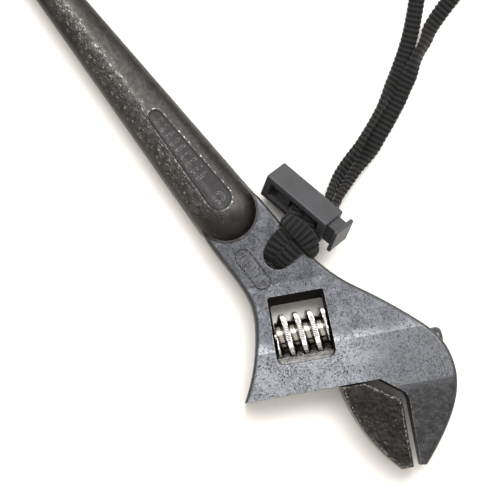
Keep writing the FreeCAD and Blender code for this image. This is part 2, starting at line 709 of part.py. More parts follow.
def main():
    in_head_axes = {
        "movable_jaw": movable_jaw(),
        "adjusting_worm": adjusting_worm(),
        "worm_pin": worm_pin(),
        "worm_spring": worm_spring(),
    }
    in_lock_axes = {
        "cord_lock_housing": cord_lock_housing(),
        "cord_lock_plunger": cord_lock_plunger(),
        "cord_lock_spring": cord_lock_spring(),
    }
    nodes = {"wrench_body": wrench_body()}
    for name, shape in in_head_axes.items():
        shape.Placement = head_place().multiply(shape.Placement)
        nodes[name] = shape
    wrench = Part.makeCompound(list(nodes.values())).optimalBoundingBox(False)
    for name, shape in in_lock_axes.items():
        shape.Placement = lock_place().multiply(shape.Placement)
        nodes[name] = shape
    nodes["lanyard_loop"] = lanyard_loop()
    nodes["lanyard_hitch"] = lanyard_hitch()

    to_origin = V(-(wrench.XMin + wrench.XMax) / 2, -(wrench.YMin + wrench.YMax) / 2, -wrench.ZMin)
    os.makedirs("parts", exist_ok=True)
    for name, shape in nodes.items():
        shape.translate(to_origin)
        shape.exportStep("parts/" + name + ".step")
        print(name, len(shape.Solids), "solid", shape.isValid(), round(shape.Volume / 1000, 3), "cm3")
    report = {
        "tether hole": V(0, 0, HEAD_HALF),
        "worm centre": V(WORM_X, WORM_Y, HEAD_HALF),
        "jaw gap middle": head_place().multVec(V(JAW_DEPTH_V - 12, FACE_U - 1.1, 0)),
        "lock centre": LOCK_CENTRE,
        "lock button": lock_point(LOCK_LENGTH / 2 + PLUNGER_OUT + CAP_THICK, 0),
    }
    for name, place in report.items():
        print(name, [round(c, 3) for c in place + to_origin])
    print("shift", [round(c, 4) for c in to_origin])
    print("size", round(wrench.XLength, 2), round(wrench.YLength, 2))
    print("open direction", [round(c, 5) for c in head_place().Rotation.multVec(V(0, -1, 0))])
    print("press direction", [round(c, 5) for c in lock_place().Rotation.multVec(V(-1, 0, 0))])


main()
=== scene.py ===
import math

import bpy
from mathutils import Matrix, Vector


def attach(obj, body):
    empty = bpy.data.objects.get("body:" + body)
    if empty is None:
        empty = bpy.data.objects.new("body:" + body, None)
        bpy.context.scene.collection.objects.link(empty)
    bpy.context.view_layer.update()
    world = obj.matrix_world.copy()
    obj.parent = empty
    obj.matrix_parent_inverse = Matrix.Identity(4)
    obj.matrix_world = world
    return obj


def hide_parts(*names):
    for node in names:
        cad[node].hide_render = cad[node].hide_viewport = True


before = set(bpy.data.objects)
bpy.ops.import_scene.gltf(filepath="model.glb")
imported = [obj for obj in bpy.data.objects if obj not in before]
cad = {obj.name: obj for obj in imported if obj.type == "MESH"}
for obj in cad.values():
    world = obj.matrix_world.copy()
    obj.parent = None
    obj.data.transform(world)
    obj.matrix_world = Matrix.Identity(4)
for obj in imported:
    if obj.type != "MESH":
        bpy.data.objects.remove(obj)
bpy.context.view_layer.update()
bpy.ops.object.select_all(action="DESELECT")


# ------------------------------------------------------------------ wrench body
# Handle, neck, head and fixed jaw are one drop forging in alloy steel, tumbled and blackened with oxide.
# The dies leave the head's faces flat and pitted and the handle's crown rough; its sides are ground smooth.
HOLE = Vector((0.0538854, 0.0062548, 0.00975))         # centre of the tether hole
WORM = Vector((0.0828854, -0.0045452, 0.00975))        # centre of the worm
JAW_ANGLE = math.radians(27.7)                         # from the handle's line to the slide of the jaw


def add(tree, kind, inputs=None, **settings):
    """A shader node with its inputs set or linked, by name or by number."""
    made = tree.nodes.new("ShaderNode" + kind)
    for name, value in settings.items():
        setattr(made, name, value)
    for name, value in (inputs or {}).items():
        if isinstance(value, bpy.types.NodeSocket):
            tree.links.new(value, made.inputs[name])
        else:
            made.inputs[name].default_value = value
    return made


def calc(tree, operation, a, b=0.0, c=0.0, clamp=False):
    """One sum on two or three values."""
    return add(tree, "Math", {0: a, 1: b, 2: c}, operation=operation, use_clamp=clamp).outputs[0]


def plus(tree, a, b):
    return calc(tree, "ADD", a, b)


def minus(tree, a, b):
    return calc(tree, "SUBTRACT", a, b)


def times(tree, first, *others):
    """The product of two or more values."""
    for other in others:
        first = calc(tree, "MULTIPLY", first, other)
    return first


def distance(tree, a, b=0.0):
    """How far apart two values are."""
    return calc(tree, "ABSOLUTE", minus(tree, a, b) if b else a)


def span(tree, a, b):
    """The length of a line that goes a one way and b across it."""
    return calc(tree, "SQRT", plus(tree, times(tree, a, a), times(tree, b, b)))


def fade(tree, value, start, stop, low=0.0, high=1.0):
    """Goes smoothly from low to high as value goes from start to stop."""
    inputs = {"Value": value, "From Min": start, "From Max": stop, "To Min": low, "To Max": high}
    return add(tree, "MapRange", inputs, interpolation_type="SMOOTHSTEP").outputs[0]


def noise(tree, vector, scale, detail=3.0, roughness=0.55, distortion=0.0):
    inputs = {"Vector": vector, "Scale": scale, "Detail": detail, "Roughness": roughness}
    return add(tree, "TexNoise", {**inputs, "Distortion": distortion}).outputs["Fac"]


def mix(tree, factor, a, b):
    """A mix of two colours."""
    return add(tree, "Mix", {0: factor, 6: a, 7: b}, data_type="RGBA").outputs[2]


def rgb(r, g, b):
    return (r, g, b, 1.0)


def split(tree, vector):
    return add(tree, "SeparateXYZ", {0: vector}).outputs


def local_mm(tree, centre, angle=0.0):
    """Object coordinates in millimetres from a centre, turned about the upright axis."""
    turn = Matrix.Rotation(angle, 3, "Z")
    inputs = {
        "Vector": add(tree, "TexCoord").outputs["Object"], "Location": -(turn @ (centre * 1000)),
        "Rotation": (0, 0, angle), "Scale": (1000, 1000, 1000),
    }
    return add(tree, "Mapping", inputs, vector_type="POINT").outputs[0]


def group(name, inputs, outputs):
    """An empty shader node group with named sockets, and its two end nodes."""
    made = bpy.data.node_groups.new(name, "ShaderNodeTree")
    for socket, kind, value in inputs:
        item = made.interface.new_socket(socket, in_out="INPUT", socket_type="NodeSocket" + kind)
        if value is not None:
            item.default_value = value
    for socket, kind in outputs:
        made.interface.new_socket(socket, in_out="OUTPUT", socket_type="NodeSocket" + kind)
    return made, made.nodes.new("NodeGroupInput").outputs, made.nodes.new("NodeGroupOutput").inputs


def set_sockets(tree, node, **sockets):
    """Sets or links a node's inputs. An underscore in a name stands for a space."""
    for name, value in sockets.items():
        socket = node.inputs[name.replace("_", " ")]
        if isinstance(value, bpy.types.NodeSocket):
            tree.links.new(value, socket)
        else:
            socket.default_value = value


def place_group(tree, made, **inputs):
    """One use of a node group with its own values."""
    node = tree.nodes.new("ShaderNodeGroup")
    node.node_tree = made
    set_sockets(tree, node, **inputs)
    return node.outputs


def material(name):
    """A material with only a Principled shader and its output."""
    made = bpy.data.materials.new(name)
    made.use_nodes = True
    tree = made.node_tree
    shader = tree.nodes["Principled BSDF"]
    return made, tree, shader


def bump(tree, height, strength, depth):
    return add(tree, "Bump", {"Height": height, "Strength": strength, "Distance": depth}).outputs[0]


def dress(obj, made):
    """Gives a piece one material in all of its slots."""
    obj.data.materials.clear()
    obj.data.materials.append(made)


# Pits and scale marks of a forged skin, from millimetre coordinates
skin, give, take = group(
    "forged_skin",
    [("Vector", "Vector", None), ("Pit size", "Float", 1.0), ("Pit share", "Float", 0.4)],
    [("Pits", "Float"), ("Mottle", "Float"), ("Grain", "Float"), ("Height", "Float")],
)
size = calc(skin, "DIVIDE", 1.0, give["Pit size"])
scaled = add(skin, "VectorMath", {0: give["Vector"], "Scale": size}, operation="SCALE").outputs[0]
warp = add(skin, "TexNoise", {"Vector": scaled, "Scale": 0.9, "Detail": 2.0}).outputs["Color"]
bent = add(skin, "VectorMath", {0: warp, 1: (2.2, 2.2, 2.2), 2: scaled}, operation="MULTIPLY_ADD").outputs[0]
cells = add(skin, "TexVoronoi", {"Vector": bent, "Scale": 0.85, "Randomness": 1.0}).outputs["Distance"]
line = fade(skin, distance(skin, noise(skin, bent, 0.8, 2.0), 0.5), 0.026, 0.010)
chip = fade(skin, cells, 0.22, 0.14)
gate = plus(skin, noise(skin, scaled, 0.75, 2.0), times(skin, noise(skin, scaled, 0.12, 2.0), 0.6))
gate = plus(skin, gate, calc(skin, "MULTIPLY_ADD", give["Pit share"], 0.5, -1.1))
where = fade(skin, gate, -0.02, 0.05)
pit_mask = calc(skin, "MULTIPLY", calc(skin, "MAXIMUM", chip, line), where, clamp=True)
grain = noise(skin, scaled, 4.5, 3.0, 0.6)
mottle = noise(skin, scaled, 0.16, 5.0, 0.62)
height = minus(skin, times(skin, grain, 0.35), pit_mask)
for name, value in (("Pits", pit_mask), ("Mottle", mottle), ("Grain", grain), ("Height", height)):
    skin.links.new(value, take[name])

# Bright metal where the finish has rubbed off the edges
wear, give, take = group(
    "edge_wear",
    [("Radius", "Float", 0.0006), ("Vector", "Vector", None), ("Reach", "Float", 0.12)],
    [("Wear", "Float")],
)
soft_normal = add(wear, "Bevel", {"Radius": give["Radius"]}, samples=6).outputs[0]
flat_normal = add(wear, "NewGeometry").outputs["True Normal"]
turned = add(wear, "VectorMath", {0: soft_normal, 1: flat_normal}, operation="DOT_PRODUCT")
bend = minus(wear, 1.0, turned.outputs["Value"])
broken = noise(wear, give["Vector"], 1.1, 4.0, 0.65)
edge = fade(wear, bend, 0.01, give["Reach"])
wear.links.new(calc(wear, "MULTIPLY", edge, fade(wear, broken, 0.42, 0.62), clamp=True), take["Wear"])


# Where the body's zones lie, in mm. Values along v and u are from the worm, towards the jaw and across it
HANDLE_END = Vector((27.885, 1.155, 0.0))              # centre of the handle's round end
HANDLE_RADIUS = 12.7
HOLE_X, HOLE_Y, HOLE_RADIUS = HOLE.x * 1000, HOLE.y * 1000, 5.05
WINDOW_V, WINDOW_HALF_V, WINDOW_HALF_U = -2.85, 14.9, 11.9
MARK_LEFT, MARK_RIGHT, MARK_Y = HOLE_X - 7.4, HOLE_X + 4.2, HOLE_Y - 11.0
MARK_RADIUS, STROKE_PITCH = 3.12, 3.0
PANEL_TIP_X, PANEL_HEAD_X, PANEL_Y = -17.4146, 22.4854, 1.8548
PANEL_TIP_RADIUS, PANEL_HEAD_RADIUS = 3.2, 5.2
FACE_BEGINS, FACE_ENDS, JAW_BEGINS = (0.5, 7.0), (34.0, 24.0), (24.0, 33.0)     # each fades over a span of v

# The darker and the lighter tone of each zone's finish
NECK_TONES = rgb(0.056, 0.057, 0.063), rgb(0.088, 0.091, 0.100)
FACE_TONES = rgb(0.186, 0.192, 0.208), rgb(0.250, 0.259, 0.280)
JAW_TONES = rgb(0.038, 0.037, 0.037), rgb(0.068, 0.066, 0.067)
SIDE_TONES = rgb(0.022, 0.0205, 0.0195), rgb(0.037, 0.035, 0.0335)
CROWN_TONES = rgb(0.038, 0.036, 0.034), rgb(0.082, 0.078, 0.074)
DOME_TONES = rgb(0.026, 0.023, 0.022), rgb(0.09, 0.083, 0.077)
PANEL_TONES = rgb(0.019, 0.018, 0.018), rgb(0.028, 0.027, 0.027)
FAR_FACE_SHADE, WALL, SAND = rgb(0.100, 0.102, 0.110), rgb(0.075, 0.075, 0.077), rgb(0.030, 0.031, 0.034)
PIT, SHADE, MARK_OXIDE = rgb(0.012, 0.012, 0.013), rgb(0.016, 0.014, 0.012), rgb(0.020, 0.020, 0.021)
PANEL_GROOVE_SHADE, PANEL_RIM = rgb(0.008, 0.0075, 0.0075), rgb(0.42, 0.41, 0.39)
FLECK, RUBBED = rgb(0.40, 0.38, 0.36), rgb(0.40, 0.39, 0.38)

forged, tree, shader = material("forged_steel")
mm = local_mm(tree, Vector((0, 0, 0)))
x, y, z = split(tree, mm)
v, u = split(tree, local_mm(tree, WORM, JAW_ANGLE))[:2]
facing = split(tree, add(tree, "NewGeometry").outputs["Normal"])[2]
flatness = fade(tree, distance(tree, facing), 0.86, 0.985)
coarse = place_group(tree, skin, Vector=mm, Pit_size=0.9, Pit_share=0.66)
fine = place_group(tree, skin, Vector=mm, Pit_size=0.42, Pit_share=0.62)

# The handle's round end marks it off from the neck, with a soft step where they meet
past = calc(tree, "MAXIMUM", minus(tree, x, HANDLE_END.x), 0.0)
across = minus(tree, y, HANDLE_END.y)
from_end = span(tree, past, across)
end_step = fade(tree, from_end, HANDLE_RADIUS + 1.1, HANDLE_RADIUS + 0.8)
on_handle = calc(
    tree, "MAXIMUM", fade(tree, from_end, HANDLE_RADIUS + 0.05, HANDLE_RADIUS - 0.15),
    times(tree, fade(tree, past, 1.5, 0.2), end_step),
)

# Head and neck: light blue-grey faces with painted shade towards their far side, darker walls, and the jaw's
# end almost black
drift = calc(tree, "MULTIPLY_ADD", noise(tree, mm, 0.09, 4.0, 0.6), 9.0, -4.5)
v_soft, u_soft, x_soft = plus(tree, v, drift), plus(tree, u, drift), plus(tree, x, drift)
v_even = calc(tree, "MULTIPLY_ADD", drift, 0.3, v)
on_face = times(tree, fade(tree, v_soft, *FACE_BEGINS), fade(tree, v_even, *FACE_ENDS))
on_jaw = fade(tree, v_even, *JAW_BEGINS)
face_colour = mix(tree, fade(tree, coarse["Mottle"], 0.35, 0.6), *FACE_TONES)
# Painted shade: the face is painted darker towards its far side, where it slopes away from the light
face_colour = mix(tree, fade(tree, u_soft, 12.0, 36.0, 0.0, 0.85), face_colour, FAR_FACE_SHADE)
head_colour = mix(tree, fade(tree, coarse["Mottle"], 0.38, 0.62), *NECK_TONES)
head_colour = mix(tree, on_face, head_colour, face_colour)
jaw_colour = mix(tree, fade(tree, fine["Mottle"], 0.4, 0.6), *JAW_TONES)
head_colour = mix(tree, on_jaw, head_colour, jaw_colour)
head_colour = mix(tree, flatness, WALL, head_colour)

# Fine sand grain everywhere, and dark pits that are thickest on the light face
head_colour = mix(tree, fade(tree, noise(tree, mm, 1.7, 3.0, 0.7), 0.36, 0.64, 0.0, 0.42), head_colour, SAND)
pitted = times(
    tree, coarse["Pits"], fade(tree, v_soft, 2.0, 11.0, 0.12, 1.0), fade(tree, u_soft, 32.0, 16.0, 0.15, 1.0),
    minus(tree, 1.0, on_jaw),
)
head_colour = mix(tree, pitted, head_colour, PIT)

# Painted shade: the walls of the worm's window and of the tether hole are painted almost black, as they lie
# in shade
in_window = times(
    tree, fade(tree, distance(tree, u), WINDOW_HALF_U + 0.5, WINDOW_HALF_U),
    fade(tree, distance(tree, v, WINDOW_V), WINDOW_HALF_V + 0.5, WINDOW_HALF_V),
    fade(tree, distance(tree, facing), 0.85, 0.6),
)
from_hole_centre = span(tree, minus(tree, x, HOLE_X), minus(tree, y, HOLE_Y))
in_hole = fade(tree, from_hole_centre, HOLE_RADIUS + 0.55, HOLE_RADIUS + 0.15)
recess_shade_mask = calc(tree, "MAXIMUM", in_window, in_hole)
head_colour = mix(tree, recess_shade_mask, head_colour, SHADE)

# The size mark's sunk outline and strokes hold the dark oxide
nearest_x = calc(tree, "MINIMUM", calc(tree, "MAXIMUM", x, MARK_LEFT), MARK_RIGHT)
mark_dy = minus(tree, y, MARK_Y)
from_mark = span(tree, minus(tree, x, nearest_x), mark_dy)
outline = fade(tree, distance(tree, from_mark, MARK_RADIUS), 0.75, 0.35)
from_middle = distance(tree, x, (MARK_LEFT + MARK_RIGHT) / 2)
nearest_stroke = calc(tree, "SNAP", plus(tree, from_middle, STROKE_PITCH / 2), STROKE_PITCH)
stroke = times(
    tree, fade(tree, distance(tree, from_middle, nearest_stroke), 0.5, 0.3),
    fade(tree, distance(tree, mark_dy), 1.8, 1.5), fade(tree, from_mark, 2.4, 2.2),
)
on_top = times(tree, fade(tree, facing, 0.2, 0.5), fade(tree, z, 12.0, 13.5, 0.0, 0.8))
mark = times(tree, calc(tree, "MAXIMUM", outline, stroke), on_top)
head_colour = mix(tree, mark, head_colour, MARK_OXIDE)

# Handle: warm black with smooth sides, a rough worn crown that has bright flecks, and a dark glossy end
crown_half = fade(tree, x, -120.0, 25.0, 3.0, 4.6)
from_crown = distance(tree, plus(tree, across, fade(tree, x, -110.0, 20.0, 1.0, 6.2)))
from_crown = minus(tree, plus(tree, from_crown, times(tree, drift, 0.35)), crown_half)
on_crown = times(tree, fade(tree, from_crown, 1.6, -1.2), fade(tree, facing, 0.55, 0.8))
streaks = add(tree, "VectorMath", {0: mm, 1: (0.6, 1.3, 1.0)}, operation="MULTIPLY").outputs[0]
scale_noise = noise(tree, streaks, 1.0, 4.0, 0.68, 0.9)
short_of_end = fade(tree, x_soft, HANDLE_END.x + 1.0, HANDLE_END.x - 8.0)
flecks = times(tree, fade(tree, scale_noise, 0.58, 0.65), on_crown, 0.85, short_of_end)
side_mottle = times(tree, noise(tree, mm, 0.7, 4.0, 0.65), 0.6)
side_mottle = plus(tree, side_mottle, times(tree, coarse["Mottle"], 0.4))
side_colour = mix(tree, fade(tree, side_mottle, 0.40, 0.60), *SIDE_TONES)
crown_colour = mix(tree, fade(tree, noise(tree, mm, 0.5, 5.0, 0.7), 0.4, 0.62), *CROWN_TONES)
handle_colour = mix(tree, on_crown, side_colour, crown_colour)
handle_colour = mix(tree, flecks, handle_colour, FLECK)
on_dome = fade(tree, x_soft, HANDLE_END.x - 9.0, HANDLE_END.x + 2.0)
dome_colour = mix(tree, fade(tree, scale_noise, 0.60, 0.70), *DOME_TONES)
handle_colour = mix(tree, on_dome, handle_colour, dome_colour)

# The sunk panel widens towards the head. Its floor is dark, with painted shade along the inside of its rim,
# and its rim is rubbed bright in places
along_panel = {"Value": x, "From Min": PANEL_TIP_X, "From Max": PANEL_HEAD_X}
share = add(tree, "MapRange", along_panel, clamp=True).outputs[0]
middle_x = calc(tree, "MULTIPLY_ADD", share, PANEL_HEAD_X - PANEL_TIP_X, PANEL_TIP_X)
radius = calc(tree, "MULTIPLY_ADD", share, PANEL_HEAD_RADIUS - PANEL_TIP_RADIUS, PANEL_TIP_RADIUS)
from_rim = minus(tree, span(tree, minus(tree, x, middle_x), minus(tree, y, PANEL_Y)), radius)
on_top = times(tree, fade(tree, facing, 0.2, 0.6), fade(tree, z, 10.0, 12.0))
panel_colour = mix(tree, fade(tree, fine["Grain"], 0.4, 0.65), *PANEL_TONES)
# Painted shade: a dark line just inside the rim, where the rim's shadow falls
groove_shade = fade(tree, distance(tree, from_rim, -0.55), 0.5, 0.2, 0.0, 0.7)
panel_colour = mix(tree, groove_shade, panel_colour, PANEL_GROOVE_SHADE)
in_panel = times(tree, fade(tree, from_rim, 0.0, -0.25), on_top)
handle_colour = mix(tree, in_panel, handle_colour, panel_colour)
rim = times(
    tree, fade(tree, distance(tree, from_rim, 0.2), 0.30, 0.10),
    fade(tree, noise(tree, mm, 0.8, 5.0, 0.7), 0.52, 0.64), on_top,
)
handle_colour = mix(tree, rim, handle_colour, PANEL_RIM)

# Head and handle meet, and the edges are rubbed bright, most of all on the light face
body_colour = mix(tree, on_handle, head_colour, handle_colour)
off_end = fade(tree, distance(tree, from_end, HANDLE_RADIUS), 0.8, 1.6)
worn = times(
    tree, place_group(tree, wear, Radius=0.0007, Vector=mm, Reach=0.10)["Wear"], off_end,
    fade(tree, v_soft, -14.0, 0.0, 0.25, 0.55),
)
body_colour = mix(tree, worn, body_colour, RUBBED)
head_rough = fade(tree, coarse["Grain"], 0.3, 0.7, 0.34, 0.48)
head_rough = calc(tree, "MULTIPLY_ADD", calc(tree, "MAXIMUM", pitted, recess_shade_mask), 0.3, head_rough)
handle_rough = fade(tree, fine["Grain"], 0.3, 0.7, 0.36, 0.5)
handle_rough = calc(tree, "MULTIPLY_ADD", calc(tree, "MAXIMUM", on_crown, on_dome), -0.10, handle_rough)
body_rough = add(tree, "Mix", {0: on_handle, 2: head_rough, 3: handle_rough}).outputs[0]
peel = times(tree, noise(tree, mm, 0.75, 3.0, 0.5), on_jaw, 1.6)
head_height = plus(tree, times(tree, coarse["Height"], 0.5), peel)
crown_height = times(tree, plus(tree, scale_noise, noise(tree, mm, 0.5, 4.0, 0.6)), on_crown, 1.3)
handle_height = plus(tree, crown_height, times(tree, fine["Grain"], 0.14))
body_height = add(tree, "Mix", {0: on_handle, 2: head_height, 3: handle_height}).outputs[0]
set_sockets(
    tree, shader, Base_Color=body_colour, Metallic=0.85, Roughness=body_rough,
    Normal=bump(tree, body_height, 0.55, 0.0003),
)
dress(cad["wrench_body"], forged)


# ------------------------------------------------------------------ movable jaw
# A second forging: block, web and toothed round shank. Its faces keep the die's orange-peel skin under black
# oxide, and its top edges are rubbed bright where it slides and where nuts have scraped it.
SHANK_V = 22.1                                         # where the web meets the round shank, mm from the worm
BLOCK_TONES = rgb(0.014, 0.0125, 0.0115), rgb(0.023, 0.021, 0.0195)
SCUFF, EDGE = rgb(0.085, 0.080, 0.075), rgb(0.50, 0.48, 0.45)
JAW_WALL_LIGHT, SHANK = rgb(0.085, 0.082, 0.079), rgb(0.20, 0.195, 0.19)

jaw_steel, tree, shader = material("jaw_steel")
mm = local_mm(tree, Vector((0, 0, 0)))
v = split(tree, local_mm(tree, WORM, JAW_ANGLE))[0]
forge = place_group(tree, skin, Vector=mm, Pit_size=0.8, Pit_share=0.42)
base = mix(tree, fade(tree, forge["Mottle"], 0.38, 0.62), *BLOCK_TONES)
base = mix(tree, fade(tree, noise(tree, mm, 1.0, 4.0, 0.6), 0.62, 0.70), base, SCUFF)
worn = place_group(tree, wear, Radius=0.0014, Vector=mm, Reach=0.04)["Wear"]
base = mix(tree, worn, base, EDGE)
facing = split(tree, add(tree, "NewGeometry").outputs["Normal"])[2]
# Painted light: the jaw's steep walls are painted much lighter than its black top faces
base = mix(tree, fade(tree, distance(tree, facing), 0.75, 0.4), base, JAW_WALL_LIGHT)
base = mix(tree, fade(tree, v, SHANK_V + 0.5, SHANK_V - 0.5), base, SHANK)
peel = plus(tree, times(tree, noise(tree, mm, 0.62, 3.0, 0.5), 1.8), times(tree, forge["Grain"], 0.3))
set_sockets(
    tree, shader, Base_Color=base, Metallic=0.85,
    Roughness=fade(tree, forge["Grain"], 0.3, 0.7, 0.26, 0.40), Normal=bump(tree, peel, 0.85, 0.0006),
)
dress(cad["movable_jaw"], jaw_steel)


# ------------------------------------------------------------------ adjusting worm
# Turned from bar stock, with one right-hand ridge cut round it and straight knurling rolled into the ridge's
# crest for the thumb, then bored for its pin, polished and plated.
WORM_RADIUS = 0.0083
WORM_ROOT = 0.0054
WORM_LEAD = 0.0053
WORM_HALF = 0.01005
WORM_PHASE = 0.00103                                   # how far along a crest stands from the worm's middle
CREST_HALF = 0.0009
CREST_ROUND = 0.0002
FLANK_ANGLE = math.radians(20)
TURNS_BELOW = 3
KNURLS = 72
KNURL_SINK = 0.962                                     # radius of a knurl's groove, as a share of the crest's
PIN_BORE = 0.0026

bpy.ops.mesh.primitive_grid_add(x_subdivisions=1, y_subdivisions=7, size=1.0, location=(0, 0, 0))
worm = bpy.context.object
worm.name = "adjusting_worm_knurled"
bpy.ops.object.mode_set(mode="EDIT")
bpy.ops.mesh.select_all(action="DESELECT")
bpy.ops.object.mode_set(mode="OBJECT")
for vertex in worm.data.vertices:
    vertex.select = vertex.co.x > 0
bpy.ops.object.mode_set(mode="EDIT")
bpy.ops.mesh.delete(type="VERT")
bpy.ops.object.mode_set(mode="OBJECT")
flank = math.tan(FLANK_ANGLE) * (WORM_RADIUS - WORM_ROOT)
corner = CREST_HALF + 0.3 * CREST_ROUND
half_profile = (
    (WORM_RADIUS, CREST_HALF - CREST_ROUND), (WORM_RADIUS - CREST_ROUND, corner),
    (WORM_ROOT, CREST_HALF + flank), (WORM_ROOT, WORM_LEAD / 2),
)
profile = [(r, -along) for r, along in reversed(half_profile)] + list(half_profile)
for vertex, (r, along) in zip(sorted(worm.data.vertices, key=lambda p: p.co.y), profile):
    vertex.co = (r, 0, along)
screw = worm.modifiers.new("ridge", "SCREW")
screw.axis = "Z"
screw.angle = 2 * math.pi
screw.screw_offset = WORM_LEAD
screw.iterations = 2 * TURNS_BELOW + 1
screw.steps = screw.render_steps = 2 * KNURLS
screw.use_merge_vertices = True
screw.merge_threshold = 0.00001
bpy.ops.object.modifier_apply(modifier="ridge")
bpy.ops.object.mode_set(mode="EDIT")
bpy.ops.mesh.select_all(action="SELECT")
bpy.ops.mesh.remove_doubles(threshold=0.00001)
bpy.ops.transform.translate(value=(0, 0, WORM_PHASE - TURNS_BELOW * WORM_LEAD))
for end in (-WORM_HALF, WORM_HALF):
    bpy.ops.mesh.select_all(action="SELECT")
    bpy.ops.mesh.bisect(
        plane_co=(0, 0, end), plane_no=(0, 0, 1), use_fill=True, clear_inner=end < 0, clear_outer=end > 0,
    )
bpy.ops.mesh.select_all(action="SELECT")
bpy.ops.mesh.normals_make_consistent(inside=False)
bpy.ops.mesh.select_all(action="DESELECT")
bpy.ops.object.mode_set(mode="OBJECT")
# Rolled grooves: every second line of points on the crest is pressed in
for vertex in worm.data.vertices:
    r = math.hypot(vertex.co.x, vertex.co.y)
    step = round(math.atan2(vertex.co.y, vertex.co.x) / (math.pi / KNURLS))
    vertex.select = r > WORM_RADIUS - CREST_ROUND / 2 and step % 2 == 0
bpy.ops.object.mode_set(mode="EDIT")
bpy.ops.transform.resize(value=(KNURL_SINK, KNURL_SINK, 1.0), center_override=(0, 0, 0))
bpy.ops.mesh.select_all(action="DESELECT")
bpy.ops.object.mode_set(mode="OBJECT")
bpy.ops.mesh.primitive_cylinder_add(vertices=64, radius=PIN_BORE, depth=3 * WORM_HALF, location=(0, 0, 0))
drill = bpy.context.object
bore = worm.modifiers.new("bore", "BOOLEAN")
bore.operation = "DIFFERENCE"
bore.object = drill
bore.solver = "EXACT"
bpy.ops.object.select_all(action="DESELECT")
bpy.context.view_layer.objects.active = worm
worm.select_set(True)
bpy.ops.object.modifier_apply(modifier="bore")
bpy.data.objects.remove(drill)
to_head = Matrix.Translation(WORM) @ Matrix.Rotation(-JAW_ANGLE, 4, "Z")
stand = Matrix(((1, 0, 0), (0, 0, 1), (0, -1, 0))).to_4x4()
worm.data.transform(to_head @ stand)
worm.data.update()

CREST_ENDS, FLANK_ENDS = (8.12, 7.98), (6.3, 5.2)       # fades over radii in mm, from the crest in
PLATED_TONES = rgb(0.60, 0.59, 0.585), rgb(0.44, 0.425, 0.405)
GROOVE_GREY, OILED_ROOT = rgb(0.34, 0.33, 0.32), rgb(0.44, 0.405, 0.36)
bright, tree, shader = material("polished_steel")
mm = local_mm(tree, Vector((0, 0, 0)))
v, u, w = split(tree, local_mm(tree, WORM, JAW_ANGLE))
radial = span(tree, v, w)
lathe = add(tree, "CombineXYZ", {0: times(tree, u, 6.0), 1: times(tree, radial, 6.0)}).outputs[0]
turning = noise(tree, lathe, 1.0, 4.0)
base = mix(tree, fade(tree, noise(tree, mm, 0.35, 4.0, 0.6), 0.38, 0.66), *PLATED_TONES)
base = mix(tree, fade(tree, radial, *CREST_ENDS), base, GROOVE_GREY)
base = mix(tree, fade(tree, radial, *FLANK_ENDS), base, OILED_ROOT)
set_sockets(
    tree, shader, Base_Color=base, Metallic=1.0, Roughness=fade(tree, turning, 0.3, 0.7, 0.08, 0.17),
    Normal=bump(tree, turning, 0.12, 0.0001),
)
dress(worm, bright)
bpy.ops.object.shade_smooth_by_angle(angle=math.radians(18))
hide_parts("adjusting_worm")
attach(worm, "worm")


# ------------------------------------------------------------------ worm pin and its spring
# The pin is a hardened slotted screw that the worm turns on. A few turns of spring wire in the worm's bore
# push it against the far wall of its window, so that it doesn't rattle.
dress(cad["worm_pin"], bright)
WIRE_TONES = rgb(0.30, 0.29, 0.28), rgb(0.48, 0.47, 0.45)
wire, tree, shader = material("spring_wire")
drawn = noise(tree, local_mm(tree, Vector((0, 0, 0))), 2.5, 3.0)
set_sockets(
    tree, shader, Base_Color=mix(tree, fade(tree, drawn, 0.4, 0.6), *WIRE_TONES), Metallic=1.0,
    Roughness=fade(tree, drawn, 0.3, 0.7, 0.22, 0.38),
)
dress(cad["worm_spring"], wire)
dress(cad["cord_lock_spring"], wire)


# ------------------------------------------------------------------ cord lock
# A flattened tube and a plunger, both moulded in glass-filled nylon with a fine spark-eroded texture. The
# spring behind the plunger nips the cord between the two windows until the end plate is pressed.
NYLON_TONES = rgb(0.028, 0.0285, 0.032), rgb(0.037, 0.0375, 0.042)
SCUFFED_NYLON = rgb(0.10, 0.10, 0.105)
nylon, tree, shader = material("moulded_nylon")
mm = local_mm(tree, Vector((0, 0, 0)))
spark = noise(tree, mm, 5.0, 2.0, 0.6)
base = mix(tree, fade(tree, noise(tree, mm, 0.14, 3.0), 0.35, 0.65), *NYLON_TONES)
rubbed = place_group(tree, wear, Radius=0.0006, Vector=mm, Reach=0.2)["Wear"]
base = mix(tree, times(tree, rubbed, 0.3), base, SCUFFED_NYLON)
set_sockets(
    tree, shader, Base_Color=base, Roughness=fade(tree, spark, 0.3, 0.7, 0.42, 0.56),
    Specular_IOR_Level=0.5, Normal=bump(tree, spark, 0.25, 0.00006),
)
dress(cad["cord_lock_housing"], nylon)
dress(cad["cord_lock_plunger"], nylon)


# ------------------------------------------------------------------ lanyard cord
# Flat black nylon cord, woven with a rib across every 2.1 mm and a braided edge. One length is folded in two:
# its bight is hitched through the hole, both strands go through the lock, and the rest is the wrist loop.
CORD_WIDTH = 0.0066
CORD_THICK = 0.0034
RIB_PITCH = 0.0021
RINGS_PER_RIB = 6
STEP = RIB_PITCH / RINGS_PER_RIB
AROUND = 20                                            # points round the cord
VALLEY_IN, VALLEY_DOWN = 0.00028, 0.00026              # how far the valleys between ribs sink, both ways
LOCK = Vector((0.0430854, 0.0264548, 0.0117))
LOCK_SWING, LOCK_TIP, LOCK_ROLL = math.radians(10.4), math.radians(-12), math.radians(-33)
lock_turn = Matrix.Rotation(LOCK_SWING, 4, "Z") @ Matrix.Rotation(LOCK_TIP, 4, "Y")
lock_turn = lock_turn @ Matrix.Rotation(LOCK_ROLL, 4, "X")


